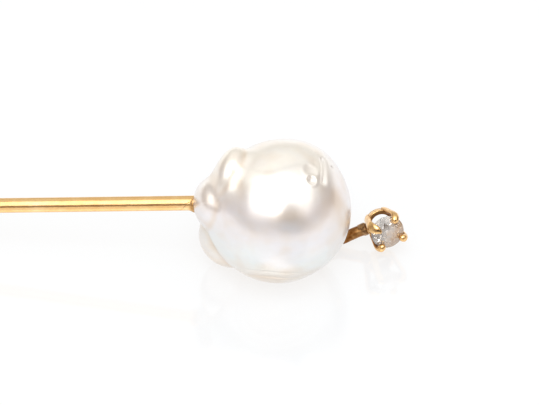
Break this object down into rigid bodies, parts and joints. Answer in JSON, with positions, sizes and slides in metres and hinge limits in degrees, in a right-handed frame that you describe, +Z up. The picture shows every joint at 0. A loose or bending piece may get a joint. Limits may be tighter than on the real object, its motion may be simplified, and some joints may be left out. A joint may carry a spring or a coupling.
{
  "type": "hat pin",
  "caption": "Antique gold hat pin with a large baroque pearl head and a small claw-set diamond standing off it on a bent wire.",
  "frame": {"origin": "middle of the worn spot under the pearl, which rests on the surface", "axes": "+Z up from the surface the pin lies on; +X along the pin from its point towards the pearl and stone; +Y to the back, away from the side the stone faces"},
  "size_m": [0.0767, 0.0116, 0.0119],
  "materials": {
    "gold": "worn polish",
    "solder": "dull",
    "nacre": "soft lustre",
    "diamond": "faceted",
    "cement": "matte"
  },
  "bodies": {
    "root": {"stem": "gold", "stem_solder": "solder", "pearl_cup": "gold", "pearl": "nacre", "stem_cement": "cement", "tail_wire": "gold", "tail_cement": "cement", "tail_solder": "solder", "collet_ring": "gold", "claw_right": "gold", "claw_upper": "gold", "claw_left": "gold", "claw_lower": "gold", "diamond": "diamond"}
  },
  "joints": []
}
